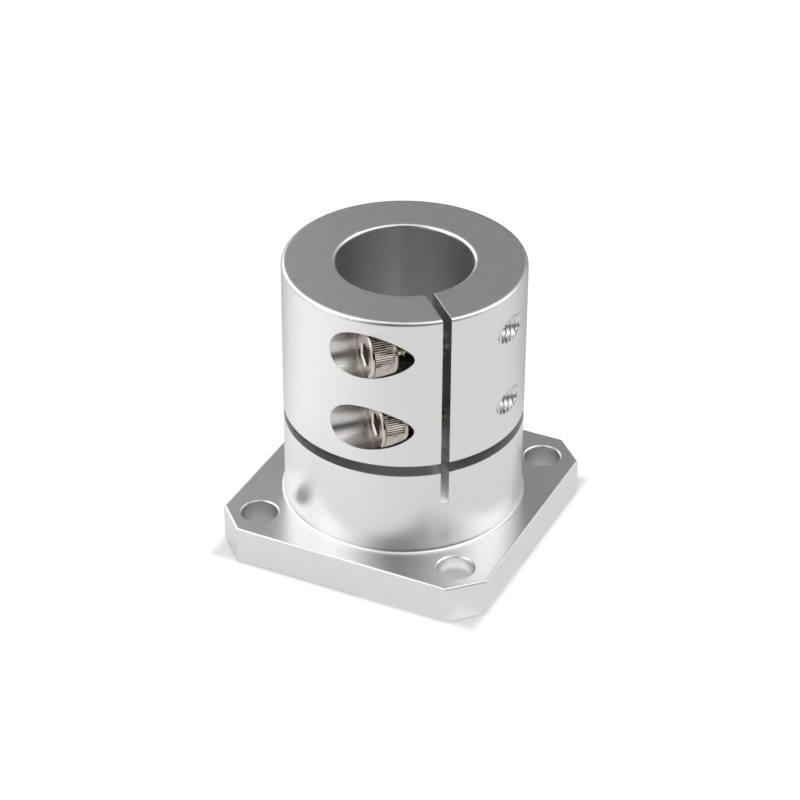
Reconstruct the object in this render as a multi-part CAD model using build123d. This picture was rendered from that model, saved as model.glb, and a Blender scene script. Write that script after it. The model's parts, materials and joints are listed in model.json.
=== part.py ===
from build123d import *
from math import cos, pi, sin, sqrt
import os

# Flanged shaft support with a split clamping sleeve and two clamp screws.
# Millimetres, +Z up. The origin is the centre of the flange's underside,
# X and Y run along the flange's edges, and the sleeve's split faces the
# corner at +X -Y.

# Sleeve
bore_dia = 20.0
bore_round = 0.5
bore_chamfer = 0.5
sleeve_wall = 7.8
rim_round = 0.6
foot_fillet = 0.5

# Flange
flange_thickness = 6.0
flange_margin = 3.7
flange_corner_cut = 4.5
flange_edge_round = 0.35
flange_hole_dia = 5.4
flange_hole_inset = 5.5
flange_hole_chamfer = 0.2

# Cross slit, sawn between the fixed ring and the clamping collar
fixed_ring_height = 13.4
cross_slit_width = 1.7
cross_saw_radius = 50.0
bridge_overlap = 1.0

# Split, sawn down one side of the collar and into the fixed ring
split_width = 1.3
split_saw_radius = 50.0
split_saw_reach = 20.0
split_overrun = 5.2

# Clamp screws: metric socket head cap screws, M4 by 12
screw_dia = 4.0
screw_length = 12.0
screw_tip_chamfer = 0.4
head_dia = 6.8
head_height = 4.0
head_rim_chamfer = 0.4
head_plain_band = 0.6
head_foot_break = 0.25
knurl_teeth = 64
knurl_depth = 0.1
socket_flats = 3.0
socket_depth = 2.0
socket_point_depth = 0.5

# Where the screws sit in the collar
screw_pitch = 12.0
screw_edge = 5.95
bore_to_screw_hole = 1.35
seat_wall = 3.55
upper_screw_gap = 2.5
lower_screw_gap = 0.9

# Clearances, each on the radius
shank_clearance = 0.25
head_clearance = 0.2
thread_clearance = 0.05

# Worked out from the sizes above
cut_past = 1.0
bore_radius = bore_dia / 2
sleeve_radius = bore_radius + sleeve_wall
flange_side = 2 * (sleeve_radius + flange_margin)
flange_hole_spacing = flange_side - 2 * flange_hole_inset
ring_top = flange_thickness + fixed_ring_height
collar_bottom = ring_top + cross_slit_width
upper_screw_z = collar_bottom + screw_edge + screw_pitch
lower_screw_z = collar_bottom + screw_edge
block_height = upper_screw_z + screw_edge
screw_hole_radius = screw_dia / 2 + shank_clearance
pocket_radius = head_dia / 2 + head_clearance
shank_radius = screw_dia / 2 - thread_clearance
screw_offset = bore_radius + bore_to_screw_hole + screw_hole_radius
seat_from_split = split_width / 2 + seat_wall

# Plan directions: where the split faces, and the way a screw backs out
split_direction = Vector(1, -1, 0).normalized()
screw_out = Vector(-1, -1, 0).normalized()


def screw_plane(height):
    """Plane on the split's middle, centred on a screw's axis, with Z the way it backs out."""
    origin = split_direction * screw_offset + Vector(0, 0, height)
    return Plane(origin=origin, x_dir=split_direction, z_dir=screw_out)


def rod(radius, start, end):
    """Cylinder along Z between two heights."""
    seat = (Align.CENTER, Align.CENTER, Align.MIN)
    return Pos(0, 0, start) * Cylinder(radius, end - start, align=seat)


def turned(*points):
    """Solid turned about Z from a half outline of radii and heights."""
    outline = Polyline(*points, close=True)
    return revolve(Plane.XZ * make_face(outline), Axis.Z)


def flange():
    """Square plate with its corners cut and its upper and lower edges rounded."""
    outline = chamfer(Rectangle(flange_side, flange_side).vertices(), flange_corner_cut)
    plate = extrude(outline, flange_thickness)
    faces = plate.faces().sort_by(Axis.Z)
    return fillet(faces[0].edges() + faces[-1].edges(), flange_edge_round)


def flange_and_sleeve():
    """Flange with the barrel that stands on it, filleted at its foot and rounded at its rim."""
    blank = flange() + rod(sleeve_radius, flange_thickness / 2, block_height)
    circles = blank.edges().filter_by(GeomType.CIRCLE).group_by(SortBy.RADIUS)[-1]
    blank = fillet(circles.sort_by(Axis.Z)[-1], rim_round)
    circles = blank.edges().filter_by(GeomType.CIRCLE).group_by(SortBy.RADIUS)[-1]
    return fillet(circles.sort_by(Axis.Z)[0], foot_fillet)


def bored(blank):
    """Blank with the shaft's bore, chamfered below and rounded at its upper mouth."""
    wide = bore_radius + bore_chamfer + cut_past
    tube = blank - turned(
        (0, -cut_past),
        (wide, -cut_past),
        (bore_radius, bore_chamfer),
        (bore_radius, block_height + cut_past),
        (0, block_height + cut_past),
    )
    mouths = tube.edges().filter_by(GeomType.CIRCLE).group_by(Axis.Z)[-1]
    return fillet(mouths.sort_by(SortBy.RADIUS)[0], bore_round)


def bolt_hole():
    """Cutter for a hole through the flange, opened by a chamfer at each end."""
    radius = flange_hole_dia / 2
    wide = radius + flange_hole_chamfer + cut_past
    return turned(
        (0, -cut_past),
        (wide, -cut_past),
        (radius, flange_hole_chamfer),
        (radius, flange_thickness - flange_hole_chamfer),
        (wide, flange_thickness + cut_past),
        (0, flange_thickness + cut_past),
    )


def cross_slit():
    """Disc of the saw that frees the collar, all but a bridge behind the bore."""
    centre = split_direction * (cross_saw_radius - bore_radius + bridge_overlap)
    return Pos(centre.X, centre.Y, 0) * rod(cross_saw_radius, ring_top, collar_bottom)


def split():
    """Disc of the saw that is plunged from above and lets the collar close."""
    saw_place = bore_radius - split_saw_reach + split_saw_radius
    saw_rise = sqrt(split_saw_radius**2 - (saw_place - sleeve_radius) ** 2)
    saw_height = ring_top - split_overrun + saw_rise
    disc = Pos(saw_place, saw_height) * Circle(split_saw_radius)
    middle = Plane(origin=(0, 0, 0), x_dir=split_direction, z_dir=screw_out)
    return extrude(middle * disc, split_width / 2, both=True)


def screw_way(height):
    """Pocket for the head, clearance hole for the shank and tapped hole beyond the split."""
    past = sleeve_radius + cut_past
    pocket = rod(pocket_radius, seat_from_split, past)
    clearance = rod(screw_hole_radius, 0, seat_from_split)
    tapped = rod(screw_dia / 2, -past, 0)
    return screw_plane(height) * (pocket + clearance + tapped)


def support_block():
    """The whole block: one piece of aluminium, sawn, bored, drilled and tapped."""
    block = bored(flange_and_sleeve())
    block -= GridLocations(flange_hole_spacing, flange_hole_spacing, 2, 2) * bolt_hole()
    block -= cross_slit()
    block -= split()
    block -= screw_way(upper_screw_z)
    block -= screw_way(lower_screw_z)
    return block


def knurl_cut(back, front):
    """Ring that leaves a straight knurl on a head between two heights."""
    corners = []
    for step in range(2 * knurl_teeth):
        radius = head_dia / 2 - knurl_depth * (step % 2)
        turn = pi * step / knurl_teeth
        corners.append((radius * cos(turn), radius * sin(turn)))
    teeth = extrude(make_face(Polyline(*corners, close=True)), front - back)
    return rod(head_dia / 2 + cut_past, back, front) - Pos(0, 0, back) * teeth


def clamp_screw(height, gap):
    """Socket head cap screw at a height, its head a gap away from the pocket's floor."""
    head_radius = head_dia / 2
    back = seat_from_split + gap
    front = back + head_height
    tip = back - screw_length
    screw = turned(
        (0, tip),
        (shank_radius - screw_tip_chamfer, tip),
        (shank_radius, tip + screw_tip_chamfer),
        (shank_radius, back),
        (head_radius - head_foot_break, back),
        (head_radius, back + head_foot_break),
        (head_radius, front - head_rim_chamfer),
        (head_radius - head_rim_chamfer, front),
        (0, front),
    )
    screw -= knurl_cut(back + head_plain_band, front)
    socket_floor = front - socket_depth
    hexagon = RegularPolygon(socket_flats / 2, 6, major_radius=False)
    screw -= Pos(0, 0, socket_floor) * extrude(hexagon, socket_depth)
    screw -= turned(
        (0, socket_floor - socket_point_depth),
        (socket_flats / 2, socket_floor),
        (0, socket_floor),
    )
    return screw_plane(height) * screw


pieces = {
    "support_block": support_block(),
    "upper_clamp_screw": clamp_screw(upper_screw_z, upper_screw_gap),
    "lower_clamp_screw": clamp_screw(lower_screw_z, lower_screw_gap),
}
os.makedirs("parts", exist_ok=True)
for name, piece in pieces.items():
    export_step(piece, f"parts/{name}.step")
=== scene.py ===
"""Looks of the flanged shaft support: the block's finish, its clamp screws, its threads and the stage."""

import json
from math import atan2, cos, hypot, pi, radians, sin, tan, tau

import bmesh
import bpy
from bpy.props import FloatProperty, FloatVectorProperty, IntProperty, PointerProperty
from mathutils import Matrix, Vector, noise


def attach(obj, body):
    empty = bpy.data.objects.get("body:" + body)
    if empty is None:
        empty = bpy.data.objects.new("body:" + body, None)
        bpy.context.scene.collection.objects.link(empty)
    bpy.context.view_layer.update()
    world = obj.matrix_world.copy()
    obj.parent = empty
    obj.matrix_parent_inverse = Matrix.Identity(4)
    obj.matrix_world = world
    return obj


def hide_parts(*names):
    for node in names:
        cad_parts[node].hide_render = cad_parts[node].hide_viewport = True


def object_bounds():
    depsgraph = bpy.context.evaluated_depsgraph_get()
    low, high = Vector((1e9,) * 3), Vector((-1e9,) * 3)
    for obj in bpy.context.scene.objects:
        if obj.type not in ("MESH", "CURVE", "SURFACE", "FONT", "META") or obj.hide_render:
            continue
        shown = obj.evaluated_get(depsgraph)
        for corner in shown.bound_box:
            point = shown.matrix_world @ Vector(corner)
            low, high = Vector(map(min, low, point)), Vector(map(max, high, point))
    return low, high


bl_info = {
    "name": "Flanged Shaft Support",
    "version": (1, 0, 0),
    "blender": (4, 5, 0),
    "location": "View3D > Sidebar > Shaft Support",
    "description": "Dresses the flanged shaft support with its finishes, screws and threads",
    "category": "Object",
}

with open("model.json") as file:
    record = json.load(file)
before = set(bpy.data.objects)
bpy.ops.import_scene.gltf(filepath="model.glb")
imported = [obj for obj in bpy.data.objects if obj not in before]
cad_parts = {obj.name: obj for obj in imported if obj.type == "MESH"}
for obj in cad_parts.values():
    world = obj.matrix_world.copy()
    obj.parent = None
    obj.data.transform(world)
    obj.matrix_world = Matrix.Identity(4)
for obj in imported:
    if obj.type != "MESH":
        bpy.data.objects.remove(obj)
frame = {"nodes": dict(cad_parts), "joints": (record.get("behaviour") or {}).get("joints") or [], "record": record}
cad_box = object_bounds()

MM = 0.001
MERGE = 1e-7
UP = Vector((0, 0, 1))
WHITE = (1, 1, 1, 1)

# Directions in plan, from the joints: the way a screw backs out, and the way the split faces
OUT = Vector(frame["joints"][0]["axis"]).normalized()
ACROSS = UP.cross(OUT)

BLOCK = "support_block"
SCREW_NODES = {"upper": "upper_clamp_screw", "lower": "lower_clamp_screw"}
SCREW_BODIES = {"upper": "upper_screw", "lower": "lower_screw"}


def points_of(node):
    """Corners of a CAD node's mesh."""
    return [v.co.copy() for v in frame["nodes"][node].data.vertices]


def span(points, direction):
    """Lowest and highest reach of points along a direction."""
    reach = [point.dot(direction) for point in points]
    return min(reach), max(reach)


class ScrewPlace:
    """Where a clamp screw lies. Depths are counted outwards from the middle of the split."""

    def __init__(self, node):
        points = points_of(node)
        low, high = span(points, UP)
        self.height = (low + high) / 2
        self.head_radius = (high - low) / 2
        low, high = span(points, ACROSS)
        self.offset = (low + high) / 2
        self.tip, self.front = span(points, OUT)
        centre = ACROSS * self.offset + UP * self.height
        axes = Matrix((ACROSS, UP, OUT)).transposed().to_4x4()
        self.matrix = Matrix.Translation(centre) @ axes
        wide = [p for p in points if (p - centre).cross(OUT).length > self.head_radius * 0.8]
        self.back = span(wide, OUT)[0]


places = {name: ScrewPlace(node) for name, node in SCREW_NODES.items()}

# Sizes of the block that its finish and threads follow, read from its mesh and mounts
mounts = {mount["name"]: mount for mount in frame["record"]["mounts"]}
block_points = points_of(BLOCK)
block_top = cad_box[1].z
sleeve_radius = max(hypot(p.x, p.y) for p in block_points if p.z > block_top / 2)
bore_radius = mounts["shaft_bore"]["dims"]["r_mm"] * MM
bolt_hole_radius = mounts["flange_bolts"]["dims"]["hole_r_mm"] * MM
bolt_hole_place = mounts["flange_bolts"]["dims"]["spacing_x_mm"] * MM / 2
screw_offset = places["upper"].offset
screw_mid_height = (places["upper"].height + places["lower"].height) / 2
screw_half_pitch = (places["upper"].height - places["lower"].height) / 2
flange_reach = cad_box[1].x
flange_top = max(p.z for p in block_points if p.x > 0.9 * flange_reach)
head_radius = places["upper"].head_radius


class ShaftBlockScrewSizes(bpy.types.PropertyGroup):
    """Sizes of a clamp screw that its plain CAD node doesn't give."""

    shank_diameter: FloatProperty(
        name="Shank diameter", description="Over the thread's crests", default=3.9 * MM, unit="LENGTH"
    )
    pitch: FloatProperty(
        name="Thread pitch", description="Advance for each turn", default=0.7 * MM, unit="LENGTH"
    )
    thread_depth: FloatProperty(
        name="Thread depth", description="From crest to root", default=0.38 * MM, unit="LENGTH"
    )
    neck: FloatProperty(
        name="Neck", description="Plain length under the head", default=0.5 * MM, unit="LENGTH"
    )
    tip_chamfer: FloatProperty(
        name="Tip chamfer", description="Cone at the end of the thread", default=0.4 * MM, unit="LENGTH"
    )
    knurl_teeth: IntProperty(
        name="Knurl teeth", description="Ridges round the head", default=64, min=12
    )
    knurl_depth: FloatProperty(
        name="Knurl depth", description="Depth of the grooves", default=0.15 * MM, unit="LENGTH"
    )
    rim_round: FloatProperty(
        name="Rim rounding", description="Round edge at the face", default=0.34 * MM, unit="LENGTH"
    )
    rim_neck: FloatProperty(
        name="Rim neck", description="Fine line between rim and knurl", default=0.1 * MM, unit="LENGTH"
    )
    plain_band: FloatProperty(
        name="Plain band", description="Unknurled band behind", default=0.6 * MM, unit="LENGTH"
    )
    socket_flats: FloatProperty(
        name="Socket across flats", description="Size of the key", default=3.0 * MM, unit="LENGTH"
    )
    socket_depth: FloatProperty(
        name="Socket depth", description="Depth of the hexagon", default=2.0 * MM, unit="LENGTH"
    )
    plating: FloatVectorProperty(
        name="Plating", description="Of the steel", default=(0.645, 0.59, 0.52), size=3, subtype="COLOR"
    )


class ShaftBlockThreadSizes(bpy.types.PropertyGroup):
    """Sizes of the tapped threads that show at the side of the collar."""

    groove_radius: FloatProperty(
        name="Groove radius", description="To the thread's root", default=1.985 * MM, unit="LENGTH"
    )
    ridge_radius: FloatProperty(
        name="Ridge radius", description="To the thread's crest", default=1.64 * MM, unit="LENGTH"
    )
    pitch: FloatProperty(
        name="Thread pitch", description="Advance for each turn", default=0.7 * MM, unit="LENGTH"
    )
    backing: FloatProperty(
        name="Backing", description="Reach into the wall", default=0.05 * MM, unit="LENGTH"
    )
    start: FloatProperty(
        name="Start", description="From the split, past a seated screw", default=8.0 * MM, unit="LENGTH"
    )
    sink: FloatProperty(
        name="Sink", description="Below the sleeve's surface", default=0.01 * MM, unit="LENGTH"
    )


class ShaftBlockFinish(bpy.types.PropertyGroup):
    """Clear anodised finish of the block, and where it was cut. Cut sizes are in millimetres."""

    colour: FloatVectorProperty(
        name="Colour", description="Anodised metal", default=(0.80, 0.80, 0.805), size=3, subtype="COLOR"
    )
    roughness: FloatProperty(
        name="Roughness", description="Of the blasted faces", default=0.33, min=0, max=1
    )
    edge_break: FloatProperty(
        name="Edge break", description="Rounding of the cuts' edges", default=0.15 * MM, unit="LENGTH"
    )
    grain: FloatProperty(
        name="Grain", description="Height of the blasted grain", default=0.004 * MM, unit="LENGTH"
    )
    tool_marks: FloatProperty(
        name="Tool marks", description="Height of the cutter's lines", default=0.003 * MM, unit="LENGTH"
    )
    pocket_radius: FloatProperty(name="Pocket radius", description="Round a screw's head", default=3.6)
    split_half: FloatProperty(name="Half split", description="Half the split's width", default=0.65)
    split_saw: FloatVectorProperty(
        name="Split's saw", description="Centre of its disc: across and up", default=(40.0, 59.0), size=2
    )
    cross_half: FloatProperty(name="Half cross slit", description="Half the slit's height", default=0.85)
    cross_height: FloatProperty(name="Cross slit", description="Height of its middle", default=20.25)
    cross_saw: FloatProperty(name="Cross saw", description="Centre of its disc: across", default=41.0)


class ShaftBlockStage(bpy.types.PropertyGroup):
    """Camera, floor and light."""

    azimuth: FloatProperty(name="Azimuth", description="Camera's turn", default=25.393)
    elevation: FloatProperty(name="Elevation", description="Camera's tilt", default=32.981)
    roll: FloatProperty(name="Roll", description="Camera's roll", default=0.355)
    distance: FloatProperty(
        name="Distance", description="From the aim", default=407.517 * MM, unit="LENGTH"
    )
    aim: FloatVectorProperty(
        name="Aim",
        description="Right, down and height of the picture's centre from the bore",
        default=(-0.547 * MM, 0.775 * MM, 20 * MM),
        size=3,
    )
    lens: FloatProperty(name="Lens", description="Focal length in mm", default=123.675)
    floor_size: FloatProperty(name="Floor", description="Side of the floor", default=4.0, unit="LENGTH")


# Meshes


def revolve(points, steps, rise=0.0):
    """Spins a half outline of radii and heights about Z. A rise makes it a screw thread."""
    mesh = bmesh.new()
    verts = [mesh.verts.new((radius, 0, height)) for radius, height in points]
    edges = [mesh.edges.new(pair) for pair in zip(verts, verts[1:])]
    bmesh.ops.spin(
        mesh,
        geom=verts + edges,
        cent=(0, 0, 0),
        axis=(0, 0, 1),
        dvec=(0, 0, rise / steps),
        angle=tau,
        steps=steps,
        use_merge=not rise,
    )
    bmesh.ops.remove_doubles(mesh, verts=mesh.verts, dist=MERGE)
    return mesh


def thread_outline(ridge, groove, pitch, ridge_flat, low, high):
    """Outline of a 60-degree thread that reaches a turn past both ends."""
    flank = abs(ridge - groove) * tan(radians(30))
    groove_flat = pitch - ridge_flat - 2 * flank
    height = low - 2 * pitch
    points = [(groove, height)]
    while height < high + pitch:
        points.append((groove, height + groove_flat))
        points.append((ridge, height + groove_flat + flank))
        points.append((ridge, height + groove_flat + flank + ridge_flat))
        height += pitch
        points.append((groove, height))
    return points


def cut_ends(mesh, low, high):
    """Trims a mesh to two heights and returns the loop of edges at each."""
    for height, normal in ((low, -UP), (high, UP)):
        bmesh.ops.bisect_plane(
            mesh,
            geom=mesh.verts[:] + mesh.edges[:] + mesh.faces[:],
            dist=MERGE,
            plane_co=(0, 0, height),
            plane_no=normal,
            clear_outer=True,
        )
    rims = [edge for edge in mesh.edges if edge.is_boundary]
    middle = (low + high) / 2
    bottom = [edge for edge in rims if edge.verts[0].co.z < middle]
    top = [edge for edge in rims if edge.verts[0].co.z > middle]
    return bottom, top


def set_radius(vert, radius):
    """Moves a vertex to a distance from Z, at its own height and angle."""
    now = hypot(vert.co.x, vert.co.y)
    vert.co.x *= radius / now
    vert.co.y *= radius / now


def finish_mesh(mesh, name, material, matrix=None, sharp=30):
    """Turns a bmesh into a shaded piece that lies at the origin."""
    if matrix:
        mesh.transform(matrix)
    bmesh.ops.recalc_face_normals(mesh, faces=mesh.faces)
    data = bpy.data.meshes.new(name)
    mesh.to_mesh(data)
    mesh.free()
    data.materials.append(material)
    data.shade_smooth()
    data.set_sharp_from_angle(angle=radians(sharp))
    piece = bpy.data.objects.new(name, data)
    bpy.context.scene.collection.objects.link(piece)
    return piece


# Materials

# Part of its span that most of a noise lies in
NOISE_SPAN = (0.3, 0.7)


class Graph:
    """A material's or the world's nodes, added one at a time."""

    def __init__(self, owner):
        owner.use_nodes = True
        self.tree = owner.node_tree
        self.tree.nodes.clear()

    def node(self, kind, inputs=None, **settings):
        """Adds a node, sets it up and joins or fills its inputs."""
        node = self.tree.nodes.new(kind)
        for name, value in settings.items():
            setattr(node, name, value)
        for name, value in (inputs or {}).items():
            if isinstance(value, bpy.types.NodeSocket):
                self.tree.links.new(value, node.inputs[name])
            else:
                node.inputs[name].default_value = value
        return node

    def math(self, operation, *values):
        """Result of one sum."""
        inputs = dict(enumerate(values))
        return self.node("ShaderNodeMath", inputs, operation=operation).outputs[0]

    def all_of(self, first, *others):
        """Mask of where every one of several masks holds."""
        for mask in others:
            first = self.math("MULTIPLY", first, mask)
        return first

    def vector(self, operation, *values, output=0):
        """Result of one vector sum."""
        inputs = dict(enumerate(values))
        return self.node("ShaderNodeVectorMath", inputs, operation=operation).outputs[output]

    def dot(self, vector, direction):
        """How far a vector reaches along a direction."""
        return self.vector("DOT_PRODUCT", vector, tuple(direction), output="Value")

    def length(self, x, y):
        """Length of a flat vector."""
        flat = self.node("ShaderNodeCombineXYZ", {"X": x, "Y": y}).outputs[0]
        return self.vector("LENGTH", flat, output="Value")

    def ramp(self, value, low, high, start=0.0, end=1.0):
        """Smooth step of a value from one level to another."""
        inputs = {"Value": value, "From Min": low, "From Max": high, "To Min": start, "To Max": end}
        return self.node("ShaderNodeMapRange", inputs, interpolation_type="SMOOTHSTEP").outputs[0]

    def wander(self, fac, middle, reach):
        """Value that wanders round a middle as noise does."""
        return self.ramp(fac, *NOISE_SPAN, middle - reach, middle + reach)

    def blend(self, factor, first, second):
        """Value between two others."""
        inputs = {"Value": factor, "To Min": first, "To Max": second}
        return self.node("ShaderNodeMapRange", inputs).outputs[0]

    def noise(self, vector, scale, detail=2.0):
        """Soft noise between 0 and 1."""
        inputs = {"Vector": vector, "Scale": scale, "Detail": detail}
        return self.node("ShaderNodeTexNoise", inputs).outputs["Fac"]

    def lines(self, value, scale, detail=2.0):
        """Uneven lines across a single value."""
        inputs = {"W": value, "Scale": scale, "Detail": detail}
        return self.node("ShaderNodeTexNoise", inputs, noise_dimensions="1D").outputs["Fac"]

    def bump(self, height, distance, normal=None):
        """Normal bent by a height."""
        inputs = {"Height": height, "Distance": distance}
        if normal:
            inputs["Normal"] = normal
        return self.node("ShaderNodeBump", inputs).outputs[0]

    def mix(self, factor, first, second, blend="MIX"):
        """Blend of two colours."""
        inputs = {0: factor, 6: first, 7: second}
        return self.node("ShaderNodeMix", inputs, data_type="RGBA", blend_type=blend).outputs[2]

    def millimetres(self):
        """Object coordinates in millimetres."""
        place = self.node("ShaderNodeTexCoord").outputs["Object"]
        inputs = {"Vector": place, "Scale": (1 / MM, 1 / MM, 1 / MM)}
        return self.node("ShaderNodeMapping", inputs).outputs[0]


def rgba(colour):
    """Colour with its alpha."""
    return (*colour, 1.0)


def metal(graph, colour, rough, normal):
    """Ends a material in bare metal."""
    inputs = {"Base Color": colour, "Metallic": 1.0, "Roughness": rough, "Normal": normal}
    shader = graph.node("ShaderNodeBsdfPrincipled", inputs)
    graph.node("ShaderNodeOutputMaterial", {"Surface": shader.outputs[0]})


def from_screw_axis(graph, place):
    """Place across the axis of the nearer screw, along the collar and up, in millimetres."""
    z = graph.dot(place, UP)
    from_middle = graph.math("ABSOLUTE", graph.math("SUBTRACT", z, screw_mid_height / MM))
    rise = graph.math("SUBTRACT", from_middle, screw_half_pitch / MM)
    aside = graph.math("SUBTRACT", graph.dot(place, ACROSS), screw_offset / MM)
    return aside, rise


# Sizes in millimetres: how far a cut place reaches past its surface, room for the foot's fillet,
# the painted shade ring in the front bolt hole (starts, full, fades, ends) and the heights above the cross
# slit's middle between which the painted light at the split's foot fades
SKIN = 0.03
FILLET_ROOM = 0.6
PAINTED_RING_HEIGHTS = (1.5, 1.9, 3.4, 4.4)
PAINTED_LIGHT_RISE = (1.0, 7.0)

# Lines of the cutters, for each millimetre, and for each radian round a pocket
BORE_LINES = 9.0
SAW_LINES = 5.0
POCKET_LINES = 16.0

# Blasted faces: grains and patches to a millimetre, shade from patch to patch on the sides and on
# the top, and how far the roughness wanders there and in the cuts
GRAINS = 6.0
PATCHES = 0.8
SIDE_SHADES = (0.985, 1.0)
TOP_SHADES = (0.945, 1.02)
BLASTED_WANDER = 0.03
CUT_WANDER = 0.04

# Cut places: shade as a share of the blasted faces' colour, roughness, depth of the cutter's lines, warmth
BORE = (0.94, 0.34, 1.0, -0.01)
BOLT_HOLES = (0.82, 0.34, 1.0, 0.0)
# Painted highlight on the front bolt hole's wall, and a painted shade ring in it
FRONT_HOLE_PAINTED_HIGHLIGHT = (1.22, 0.28, 1.0, 0.0)
PAINTED_SHADE_RING = (0.70, 0.30, 1.0, 0.0)
POCKETS = (0.84, 0.30, 0.1, 0.03)
THREADS = (1.12, 0.26, 0.3, 0.0)
SPLIT = (0.66, 0.40, 1.0, 0.0)
CROSS_SLIT = (0.98, 0.40, 1.5, 0.0)
# Painted light at the split's foot, and a painted highlight on the saw's overrun below the cross slit
SPLIT_FOOT_PAINTED_LIGHT = (1.05, 0.42, 1.0, 0.0)
OVERRUN_PAINTED_HIGHLIGHT = (1.27, 0.45, 1.0, 0.0)

# Colour of the specks and scratches on the top, and how much of it they take
MARKS_COLOUR = (0.97, 0.97, 0.97)
MARKS_SHARE = 0.6


def handling_marks(graph, place, mottle):
    """Mask of a few bright specks and faint winding scratches."""
    cells = graph.node("ShaderNodeTexVoronoi", {"Vector": place, "Scale": 0.9})
    near_cell = graph.ramp(cells.outputs["Distance"], 0.08, 0.17, 1.0, 0.0)
    chosen = graph.node("ShaderNodeSeparateColor", {0: cells.outputs["Color"]}).outputs[0]
    speck = graph.all_of(near_cell, graph.math("GREATER_THAN", chosen, 0.9))
    winding = graph.math("ABSOLUTE", graph.math("SUBTRACT", graph.noise(place, 0.45, 1.0), 0.5))
    scratch = graph.all_of(graph.ramp(winding, 0.0, 0.006, 0.4, 0.0), graph.ramp(mottle, 0.5, 0.62))
    return graph.math("MAXIMUM", speck, scratch)


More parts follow.
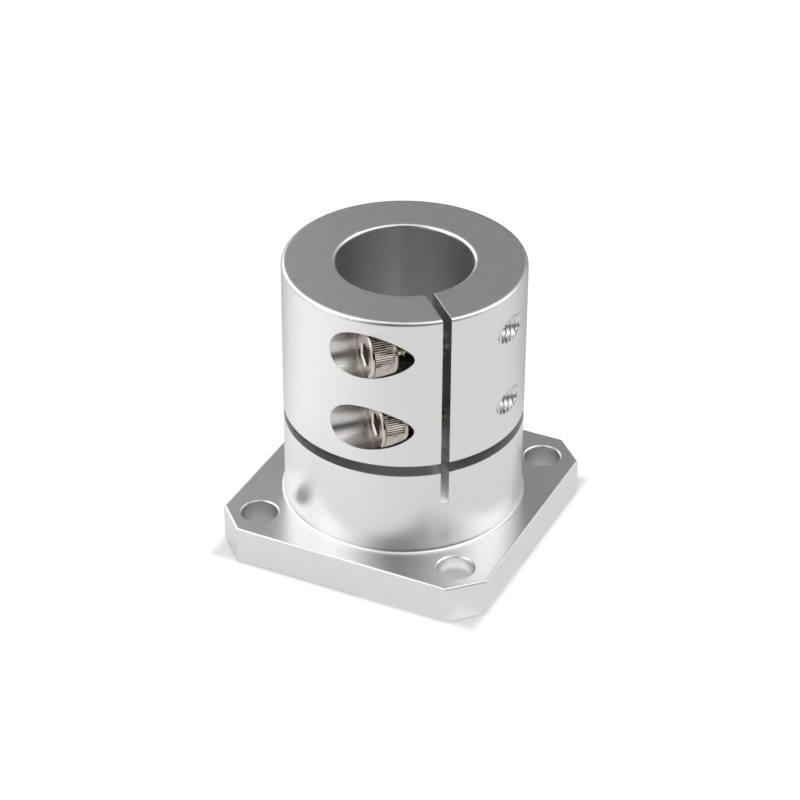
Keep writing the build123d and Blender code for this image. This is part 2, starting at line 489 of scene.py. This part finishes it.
def anodised_aluminium(finish):
    """Clear anodised block: blasted outside, with the cutter's lines in its bores, pockets and slits."""
    material = bpy.data.materials.new("anodised_aluminium")
    graph = Graph(material)
    place = graph.millimetres()
    parts = graph.node("ShaderNodeSeparateXYZ", {0: place}).outputs
    x, y, z = parts["X"], parts["Y"], parts["Z"]
    out = graph.dot(place, OUT)
    across = graph.dot(place, ACROSS)
    radius = graph.length(x, y)

    # Distances from the axes of the screws and of the flange's holes
    aside, rise = from_screw_axis(graph, place)
    screw_radius = graph.length(aside, rise)
    hole_x = graph.math("SUBTRACT", graph.math("ABSOLUTE", x), bolt_hole_place / MM)
    hole_y = graph.math("SUBTRACT", graph.math("ABSOLUTE", y), bolt_hole_place / MM)
    hole_radius = graph.length(hole_x, hole_y)

    # Where the block was cut after it was blasted
    inside = graph.math("LESS_THAN", radius, sleeve_radius / MM - SKIN)
    above_flange = graph.math("GREATER_THAN", z, flange_top / MM + FILLET_ROOM)
    in_sleeve = graph.all_of(inside, above_flange)
    in_bore = graph.math("LESS_THAN", radius, bore_radius / MM + SKIN)
    near_screw = graph.math("LESS_THAN", screw_radius, finish.pocket_radius + SKIN)
    near_screw = graph.all_of(near_screw, in_sleeve)
    in_pocket = graph.all_of(near_screw, graph.math("GREATER_THAN", out, 0.0))
    in_thread = graph.all_of(near_screw, graph.math("LESS_THAN", out, -finish.split_half))
    near_split = graph.math("LESS_THAN", graph.math("ABSOLUTE", out), finish.split_half + SKIN)
    below_top = graph.math("LESS_THAN", z, block_top / MM - SKIN)
    before_bore = graph.math("GREATER_THAN", across, 0.0)
    in_split = graph.all_of(near_split, in_sleeve, below_top, before_bore)
    in_cross = graph.math("COMPARE", z, finish.cross_height, finish.cross_half + SKIN)
    in_cross = graph.all_of(in_cross, in_sleeve)
    in_hole = graph.math("LESS_THAN", hole_radius, bolt_hole_radius / MM + SKIN)

    # Cutter's lines: round the bore, along each pocket, and arcs of the two saws
    bore_lines = graph.lines(z, BORE_LINES)
    pocket_lines = graph.lines(graph.math("ARCTAN2", rise, aside), POCKET_LINES)
    saw_v = graph.math("SUBTRACT", across, finish.split_saw[0])
    saw_z = graph.math("SUBTRACT", z, finish.split_saw[1])
    split_arcs = graph.lines(graph.length(saw_v, saw_z), SAW_LINES)
    cross_v = graph.math("SUBTRACT", across, finish.cross_saw)
    cross_arcs = graph.lines(graph.length(cross_v, out), SAW_LINES)

    # Parts of those places with painted light or shade: a painted highlight in the front hole with its painted
    # shade ring, and painted light at the split's foot
    in_front = graph.math("GREATER_THAN", graph.math("SUBTRACT", x, y), bolt_hole_place / MM)
    in_front = graph.all_of(in_hole, in_front)
    ring_low, ring_full, ring_fade, ring_high = PAINTED_RING_HEIGHTS
    painted_shade_ring = graph.all_of(graph.ramp(z, ring_low, ring_full), graph.ramp(z, ring_fade, ring_high, 1.0, 0.0))
    foot_low, foot_high = (finish.cross_height + rise for rise in PAINTED_LIGHT_RISE)
    painted_foot_light = graph.ramp(z, foot_low, foot_high, 1.0, 0.0)
    below_slit = graph.math("LESS_THAN", z, finish.cross_height - finish.cross_half)
    zones = (
        (in_bore, bore_lines, BORE),
        (in_hole, bore_lines, BOLT_HOLES),
        (in_front, bore_lines, FRONT_HOLE_PAINTED_HIGHLIGHT),
        (graph.all_of(in_front, painted_shade_ring), bore_lines, PAINTED_SHADE_RING),
        (in_pocket, pocket_lines, POCKETS),
        (in_thread, pocket_lines, THREADS),
        (in_split, split_arcs, SPLIT),
        (graph.all_of(in_split, painted_foot_light), split_arcs, SPLIT_FOOT_PAINTED_LIGHT),
        (in_cross, cross_arcs, CROSS_SLIT),
        (graph.all_of(in_split, below_slit), split_arcs, OVERRUN_PAINTED_HIGHLIGHT),
    )

    # Blasted grain, and over it the shade, roughness and lines of each cut place
    grain = graph.noise(place, GRAINS, 3.0)
    mottle = graph.noise(place, PATCHES, 3.0)
    on_top = graph.math("GREATER_THAN", z, block_top / MM - SKIN)
    dark, light = (graph.blend(on_top, *shades) for shades in zip(SIDE_SHADES, TOP_SHADES))
    tone = graph.ramp(mottle, *NOISE_SPAN, dark, light)
    rough = graph.wander(grain, finish.roughness, BLASTED_WANDER)
    height = 0.0
    blasted = 1.0
    warmth = 0.0
    for mask, marks, (zone_tone, zone_rough, depth, zone_warmth) in zones:
        tone = graph.blend(mask, tone, zone_tone)
        rough = graph.blend(mask, rough, graph.wander(marks, zone_rough, CUT_WANDER))
        height = graph.blend(mask, height, graph.math("MULTIPLY", marks, depth))
        blasted = graph.blend(mask, blasted, 0.0)
        warmth = graph.blend(mask, warmth, zone_warmth)

    # Colour: the shade warmed or cooled, and the marks on the top
    red = graph.math("MULTIPLY_ADD", tone, warmth, tone)
    blue = graph.math("MULTIPLY_ADD", tone, graph.math("MULTIPLY", warmth, -1.0), tone)
    tint = graph.node("ShaderNodeCombineColor", {0: red, 1: tone, 2: blue}).outputs[0]
    colour = graph.mix(1.0, rgba(finish.colour), tint, "MULTIPLY")
    handled = graph.all_of(handling_marks(graph, place, mottle), on_top)
    colour = graph.mix(graph.math("MULTIPLY", handled, MARKS_SHARE), colour, rgba(MARKS_COLOUR))

    broken = graph.node("ShaderNodeBevel", {"Radius": finish.edge_break}, samples=6).outputs[0]
    bent = graph.bump(graph.math("MULTIPLY", grain, blasted), finish.grain, broken)
    bent = graph.bump(height, finish.tool_marks, bent)
    metal(graph, colour, rough, bent)
    return material


# Painted shade in the knurl's grooves: how dark it is, the depths in millimetres below the head's side
# between which it sets in, and the depth past which there is none
GROOVE_PAINTED_SHADE = 0.25
GROOVE_SHADE_START = (0.015, 0.08)
GROOVE_SHADE_END = 0.3

# Plate: height of its ripples, and its shade from spot to spot
PLATE_RIPPLE = 0.003 * MM
PLATE_SHADES = (0.9, 1.0)


def nickel_plate(sizes):
    """Bright plate over turned and rolled steel, with fine lines, small dull spots and painted shade in the
    knurl's grooves.
    """
    material = bpy.data.materials.new("nickel_plated_steel")
    graph = Graph(material)
    place = graph.millimetres()
    out = graph.dot(place, OUT)
    spots = graph.noise(place, 1.6, 3.0)
    fine = graph.noise(place, 9.0, 2.0)
    turned = graph.lines(out, 7.0, 3.0)
    level = graph.ramp(spots, *NOISE_SPAN, *PLATE_SHADES)

    # The painted groove shade lies below the head's side, and behind its plain rim
    upper = graph.math("GREATER_THAN", graph.dot(place, UP), screw_mid_height / MM)
    front = graph.blend(upper, places["lower"].front / MM, places["upper"].front / MM)
    depth = graph.math("SUBTRACT", head_radius / MM, graph.length(*from_screw_axis(graph, place)))
    behind_rim = graph.math("LESS_THAN", out, graph.math("SUBTRACT", front, sizes.rim_round / MM))
    above_shank = graph.math("LESS_THAN", depth, GROOVE_SHADE_END)
    # Painted shade: the knurl's grooves are darkened where they sink below the head's side
    painted_groove_shade = graph.all_of(graph.ramp(depth, *GROOVE_SHADE_START), above_shank, behind_rim)
    level = graph.math("MULTIPLY", level, graph.blend(painted_groove_shade, 1.0, GROOVE_PAINTED_SHADE))
    tint = graph.node("ShaderNodeCombineColor", {0: level, 1: level, 2: level}).outputs[0]
    colour = graph.mix(1.0, rgba(sizes.plating), tint, "MULTIPLY")
    rough = graph.ramp(spots, 0.25, 0.75, 0.16, 0.26)
    bent = graph.bump(fine, PLATE_RIPPLE)
    bent = graph.bump(turned, PLATE_RIPPLE, bent)
    metal(graph, colour, rough, bent)
    return material


# How white the floor is to the camera, and how much of that covers the block's shadow
FLOOR_WHITE = 1.06
FLOOR_COVER = 0.97

# How much of the floor the metal sees as painted light, and that painted light on each side (turn from the
# camera in degrees, brightness), near the block, as a painted shadow under it and as a painted pool of light in
# its front bolt hole
FLOOR_SHINE = 0.75
FLOOR_SIDES = ((-90, 1.20), (0, 0.86), (90, 0.84))
FLOOR_NEAR = 0.87
FLOOR_UNDER_PAINTED_SHADOW = 0.67
FLOOR_FRONT_HOLE_PAINTED_LIGHT = 1.08

# How far from the flange the near floor turns into the sides, how softly it ends under it, and
# where the front hole's part starts, as a share of the holes' place
FLOOR_NEAR_REACH = 25 * MM
FLOOR_EDGE = 1 * MM
FRONT_HOLE_START = 1.1


def direction(turn, height):
    """Unit vector at a turn about Z, counted from -Y towards +X, and a height, in degrees."""
    a, e = radians(turn), radians(height)
    return Vector((sin(a) * cos(e), -cos(a) * cos(e), sin(e)))


def pale_floor(azimuth):
    """Matt white paper that the camera sees as a white studio sweep, and that the metal sees glowing with painted
    light: brighter on some sides, with a painted shadow under the block and a painted pool of light under its
    front bolt hole.
    """
    material = bpy.data.materials.new("pale_floor")
    graph = Graph(material)
    place = graph.node("ShaderNodeTexCoord").outputs["Object"]
    fine = graph.noise(place, 900.0, 2.0)
    level = graph.ramp(fine, 0.2, 0.8, 0.84, 0.88)
    paper = graph.node("ShaderNodeCombineColor", {0: level, 1: level, 2: level}).outputs[0]
    matt = graph.node("ShaderNodeBsdfDiffuse", {"Color": paper})

    # Painted light by side, a painted shadow under the block and painted light under its front hole
    way = graph.vector("NORMALIZE", place)
    sides = 0.0
    for turn, strength in FLOOR_SIDES:
        facing = graph.math("MAXIMUM", graph.dot(way, direction(azimuth + turn, 0)), 0.0)
        side = graph.math("MULTIPLY", graph.math("MULTIPLY", facing, facing), strength)
        sides = graph.math("ADD", sides, side)
    parts = graph.node("ShaderNodeSeparateXYZ", {0: graph.vector("ABSOLUTE", place)}).outputs
    reach = graph.math("MAXIMUM", parts["X"], parts["Y"])
    clear = graph.ramp(reach, flange_reach - FLOOR_EDGE, flange_reach + FLOOR_EDGE)
    far = graph.ramp(reach, flange_reach, flange_reach + FLOOR_NEAR_REACH)
    front_start = FRONT_HOLE_START * bolt_hole_place
    front = graph.math("GREATER_THAN", graph.dot(place, ACROSS), front_start)
    under = graph.blend(front, FLOOR_UNDER_PAINTED_SHADOW, FLOOR_FRONT_HOLE_PAINTED_LIGHT)
    painted_floor_light = graph.blend(clear, under, graph.blend(far, FLOOR_NEAR, sides))
    shine = graph.node("ShaderNodeEmission", {"Color": WHITE, "Strength": painted_floor_light})
    white = graph.node("ShaderNodeEmission", {"Color": WHITE, "Strength": FLOOR_WHITE})
    path = graph.node("ShaderNodeLightPath").outputs
    seen = graph.math("MULTIPLY", graph.math("MULTIPLY", path["Is Camera Ray"], FLOOR_COVER), clear)
    shone = graph.math("MULTIPLY", path["Is Glossy Ray"], FLOOR_SHINE)
    mixed = graph.node("ShaderNodeMixShader", {0: seen, 1: matt.outputs[0], 2: white.outputs[0]})
    mixed = graph.node("ShaderNodeMixShader", {0: shone, 1: mixed.outputs[0], 2: shine.outputs[0]})
    graph.node("ShaderNodeOutputMaterial", {"Surface": mixed.outputs[0]})
    return material


# Soft boxes of the studio: turn from the camera, height and reach in degrees, brightness. Each is
# full within its core and fades to its reach.
SOFT_BOXES = (
    (0, 88, 24, 0.30),
    (-90, 62, 36, 1.20),
    (-45, 55, 36, 0.30),
    (45, 55, 36, 0.96),
    (90, 62, 36, 0.90),
    (-60, 25, 36, 1.15),
    (-95, 28, 36, 0.76),
    (-138, 28, 36, 1.56),
    (60, 25, 36, 0.08),
    (95, 28, 36, 1.40),
    (138, 28, 36, 0.55),
    (180, 30, 36, 0.16),
)
SOFT_BOX_CORE = 2


def studio_world(azimuth):
    """World that is white to the camera and holds the soft boxes."""
    world = bpy.data.worlds.new("studio")
    graph = Graph(world)
    ray = graph.node("ShaderNodeTexCoord").outputs["Generated"]
    core = cos(radians(SOFT_BOX_CORE))
    total = 0.0
    for turn, height, reach, strength in SOFT_BOXES:
        facing = graph.dot(ray, direction(azimuth + turn, height))
        box = graph.ramp(facing, cos(radians(reach)), core, 0.0, strength)
        total = graph.math("ADD", box, total)
    room = graph.node("ShaderNodeBackground", {"Color": WHITE, "Strength": total})
    white = graph.node("ShaderNodeBackground", {"Color": WHITE, "Strength": 1.0})
    seen = graph.node("ShaderNodeLightPath").outputs["Is Camera Ray"]
    mixed = graph.node("ShaderNodeMixShader", {0: seen, 1: room.outputs[0], 2: white.outputs[0]})
    graph.node("ShaderNodeOutputWorld", {"Surface": mixed.outputs[0]})
    return world


# Small forms of a screw's head, and the fine neck's width and the two ends of its floor, as shares
# of its depth
NECK_CORNER = 0.2 * MM
FOOT_ROUND = 0.42 * MM
SOCKET_LEAD = 0.25 * MM
SOCKET_POINT = 0.5 * MM
RIM_STEPS = 6
NECK_WIDTH = 1.5
NECK_FLOOR = (0.3, 0.9)

# Knurl: its first ring, rings along it, steps to a tooth, wander and wear of its grooves, and the
# side that they were rolled from with their least depth away from it
KNURL_START = 0.1 * MM
KNURL_RINGS = 10
STEPS_PER_TOOTH = 6
KNURL_DRIFT = 0.8
KNURL_WEAR = 0.5
ROLLED_SIDE = radians(45)
ROLLED_LEAST = 0.25

# Steps round a thread, how steeply it runs out under the head, and the greatest angle in degrees
# that a smooth edge has, on the screws and in the block
SHANK_STEPS = 48
RUN_OUT = 1.2
TAPPED_STEPS = 72
SLEEVE_STEPS = 512
SCREW_SMOOTH = 32
THREAD_SMOOTH = 40

# Camera: width of its sensor in millimetres, and the nearest that it sees
SENSOR_WIDTH = 36
CLIP_START = 10 * MM


# Operators


class SHAFTBLOCK_OT_finish_block(bpy.types.Operator):
    """Give the block its anodised finish"""

    bl_idname = "shaftblock.finish_block"
    bl_label = "Finish Block"

    def execute(self, context):
        block = frame["nodes"][BLOCK]
        block.material_slots[0].material = anodised_aluminium(context.scene.shaftblock_finish)
        return {"FINISHED"}


class SHAFTBLOCK_OT_clamp_screws(bpy.types.Operator):
    """Make the two clamp screws with their knurl, socket and thread"""

    bl_idname = "shaftblock.clamp_screws"
    bl_label = "Clamp Screws"

    def groove(self, angle, along, teeth):
        """Depth of the knurl at an angle and a length in millimetres, where 1 is a full groove.

        The knurl was rolled from two sides, so its grooves are deepest there. They drift and are worn.
        """
        drift = noise.noise((5 * cos(angle), 5 * sin(angle), 0.5 * along))
        wear = noise.noise((8 * cos(angle), 8 * sin(angle), 0.9 * along + 50))
        wave = (1 - cos(angle * teeth + KNURL_DRIFT * drift)) / 2
        rolled = ROLLED_LEAST + (1 - ROLLED_LEAST) * cos(angle - ROLLED_SIDE) ** 4
        return wave * rolled * (1 + KNURL_WEAR * wear)

    def head(self, sizes, place):
        """Head and neck, its rim and foot rounded, with the hexagon pressed into its face."""
        edge, back, front = place.head_radius, place.back, place.front
        rim = sizes.rim_round
        neck = sizes.rim_neck
        socket = sizes.socket_flats / 2
        floor = front - sizes.socket_depth
        root = sizes.shank_diameter / 2 - sizes.thread_depth
        knurl_low = back + sizes.plain_band
        knurl_high = front - rim - NECK_WIDTH * neck
        points = [
            (root, back - sizes.neck),
            (root, back - NECK_CORNER),
            (root + NECK_CORNER, back),
            (edge - FOOT_ROUND, back),
            (edge - FOOT_ROUND * 0.3, back + FOOT_ROUND * 0.3),
            (edge, back + FOOT_ROUND),
            (edge, knurl_low - KNURL_START),
            (edge, knurl_low),
            (edge, knurl_low + KNURL_START),
        ]
        for step in range(2, KNURL_RINGS + 1):
            points.append((edge, knurl_low + (knurl_high - knurl_low) * step / KNURL_RINGS))
        for share in NECK_FLOOR:
            points.append((edge - neck, knurl_high + share * neck))
        for step in range(RIM_STEPS):
            turn = pi / 2 * step / RIM_STEPS
            points.append((edge - rim + rim * cos(turn), front - rim + rim * sin(turn)))
        points += [
            (edge - rim, front),
            (socket + SOCKET_LEAD, front),
            (socket, front - SOCKET_LEAD),
            (socket, floor),
            (0, floor - SOCKET_POINT),
        ]
        mesh = revolve(points, STEPS_PER_TOOTH * sizes.knurl_teeth)
        for vert in mesh.verts:
            radius = hypot(vert.co.x, vert.co.y)
            angle = atan2(vert.co.y, vert.co.x)
            if radius > edge - MERGE and knurl_low + MERGE < vert.co.z < knurl_high + MERGE:
                along = (vert.co.z - front + place.height) / MM
                set_radius(vert, radius - sizes.knurl_depth * self.groove(angle, along, sizes.knurl_teeth))
            elif MERGE < radius < socket + SOCKET_LEAD + MERGE and vert.co.z > floor - MERGE:
                side = (angle + pi / 6) % (pi / 3) - pi / 6
                set_radius(vert, radius / cos(side))
        return mesh

    def build(self, sizes, place, material, name):
        """Whole screw as one closed skin."""
        crest = sizes.shank_diameter / 2
        root = crest - sizes.thread_depth
        top = place.back - sizes.neck
        outline = thread_outline(crest, root, sizes.pitch, sizes.pitch / 8, place.tip, top)
        shank = revolve(outline, SHANK_STEPS, sizes.pitch)
        tip_loop, _ = cut_ends(shank, place.tip, top)
        for vert in shank.verts:
            cone = crest - sizes.tip_chamfer + (vert.co.z - place.tip)
            fade = root + RUN_OUT * (top - vert.co.z)
            limit = min(cone, fade)
            if hypot(vert.co.x, vert.co.y) > limit:
                set_radius(vert, limit)
        bmesh.ops.edgeloop_fill(shank, edges=tip_loop)
        head = self.head(sizes, place)
        join = bpy.data.meshes.new("join")
        head.to_mesh(join)
        head.free()
        shank.from_mesh(join)
        bpy.data.meshes.remove(join)
        open_edges = [edge for edge in shank.edges if edge.is_boundary]
        bmesh.ops.bridge_loops(shank, edges=open_edges)
        return finish_mesh(shank, name, material, place.matrix, SCREW_SMOOTH)

    def execute(self, context):
        sizes = context.scene.shaftblock_screw
        material = nickel_plate(sizes)
        for name, place in places.items():
            screw = self.build(sizes, place, material, f"{name}_socket_head_screw")
            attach(screw, SCREW_BODIES[name])
            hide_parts(SCREW_NODES[name])
        return {"FINISHED"}


class SHAFTBLOCK_OT_tapped_threads(bpy.types.Operator):
    """Make the threads that show in the two tapped holes"""

    bl_idname = "shaftblock.tapped_threads"
    bl_label = "Tapped Threads"

    def build(self, sizes, place, material, name):
        """Thread from past the screw's reach to the side of the sleeve."""
        low = -sleeve_radius
        high = -sizes.start
        outline = thread_outline(
            sizes.ridge_radius, sizes.groove_radius, sizes.pitch, sizes.pitch / 4, low, high
        )
        mesh = revolve(outline, TAPPED_STEPS, sizes.pitch)
        loops = cut_ends(mesh, low, high)
        for loop in loops:
            made = bmesh.ops.extrude_edge_only(mesh, edges=loop)["geom"]
            for vert in made:
                if isinstance(vert, bmesh.types.BMVert):
                    set_radius(vert, sizes.groove_radius + sizes.backing)
        open_edges = [edge for edge in mesh.edges if edge.is_boundary]
        bmesh.ops.bridge_loops(mesh, edges=open_edges)
        thread = finish_mesh(mesh, name, material, place.matrix, THREAD_SMOOTH)
        self.trim(thread, sizes)
        return thread

    def trim(self, thread, sizes):
        """Cuts the thread off flush with the sleeve's round side."""
        cutter_mesh = bmesh.new()
        bmesh.ops.create_cone(
            cutter_mesh,
            cap_ends=True,
            segments=SLEEVE_STEPS,
            radius1=sleeve_radius - sizes.sink,
            radius2=sleeve_radius - sizes.sink,
            depth=4 * block_top,
        )
        cutter = finish_mesh(cutter_mesh, "cutter", thread.data.materials[0])
        cut = thread.modifiers.new("trim", "BOOLEAN")
        cut.operation = "INTERSECT"
        cut.solver = "EXACT"
        cut.object = cutter
        depsgraph = bpy.context.evaluated_depsgraph_get()
        trimmed = bpy.data.meshes.new_from_object(thread.evaluated_get(depsgraph))
        thread.modifiers.clear()
        thread.data = trimmed
        bpy.data.objects.remove(cutter)

    def execute(self, context):
        sizes = context.scene.shaftblock_thread
        material = frame["nodes"][BLOCK].material_slots[0].material
        for name, place in places.items():
            thread = self.build(sizes, place, material, f"{name}_tapped_thread")
            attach(thread, "block")
        return {"FINISHED"}


class SHAFTBLOCK_OT_stage(bpy.types.Operator):
    """Set up the floor, the light and the camera"""

    bl_idname = "shaftblock.stage"
    bl_label = "Stage"

    def camera(self, stage):
        """Camera that sees the block as the photograph does."""
        data = bpy.data.cameras.new("camera")
        data.lens = stage.lens
        data.sensor_width = SENSOR_WIDTH
        data.clip_start = CLIP_START
        camera = bpy.data.objects.new("camera", data)
        bpy.context.scene.collection.objects.link(camera)
        a, r = radians(stage.azimuth), radians(stage.roll)
        back = direction(stage.azimuth, stage.elevation)
        level = Vector((cos(a), sin(a), 0))
        rise = back.cross(level)
        right = cos(r) * level + sin(r) * rise
        up = -sin(r) * level + cos(r) * rise
        shift_right, shift_up, height = stage.aim
        place = UP * height + right * shift_right + up * shift_up + back * stage.distance
        axes = Matrix((right, up, back)).transposed().to_4x4()
        camera.matrix_world = Matrix.Translation(place) @ axes
        bpy.context.scene.camera = camera

    def floor(self, stage):
        """Flat sweep under the block."""
        mesh = bmesh.new()
        bmesh.ops.create_grid(mesh, x_segments=8, y_segments=8, size=stage.floor_size / 2)
        finish_mesh(mesh, "floor", pale_floor(stage.azimuth))

    def execute(self, context):
        stage = context.scene.shaftblock_stage
        context.scene.view_settings.view_transform = "Standard"
        context.scene.world = studio_world(stage.azimuth)
        self.floor(stage)
        self.camera(stage)
        return {"FINISHED"}


class SHAFTBLOCK_PT_panel(bpy.types.Panel):
    """The block's pieces, in the sidebar"""

    bl_idname = "SHAFTBLOCK_PT_panel"
    bl_label = "Shaft Support"
    bl_space_type = "VIEW_3D"
    bl_region_type = "UI"
    bl_category = "Shaft Support"

    def draw(self, context):
        for operator in OPERATORS:
            self.layout.operator(operator.bl_idname)
        for group in SETTINGS:
            box = self.layout.box()
            settings = getattr(context.scene, group)
            for name in settings.__annotations__:
                box.prop(settings, name)


SETTINGS = {
    "shaftblock_screw": ShaftBlockScrewSizes,
    "shaftblock_thread": ShaftBlockThreadSizes,
    "shaftblock_finish": ShaftBlockFinish,
    "shaftblock_stage": ShaftBlockStage,
}
OPERATORS = (
    SHAFTBLOCK_OT_finish_block,
    SHAFTBLOCK_OT_clamp_screws,
    SHAFTBLOCK_OT_tapped_threads,
    SHAFTBLOCK_OT_stage,
)
CLASSES = (*SETTINGS.values(), *OPERATORS, SHAFTBLOCK_PT_panel)


def register():
    for cls in CLASSES:
        bpy.utils.register_class(cls)
    for name, group in SETTINGS.items():
        setattr(bpy.types.Scene, name, PointerProperty(type=group))


def unregister():
    for name in SETTINGS:
        delattr(bpy.types.Scene, name)
    for cls in reversed(CLASSES):
        bpy.utils.unregister_class(cls)


def main():
    register()
    bpy.ops.shaftblock.finish_block()
    bpy.ops.shaftblock.clamp_screws()
    bpy.ops.shaftblock.tapped_threads()
    bpy.ops.shaftblock.stage()


if __name__ == "__main__":
    main()
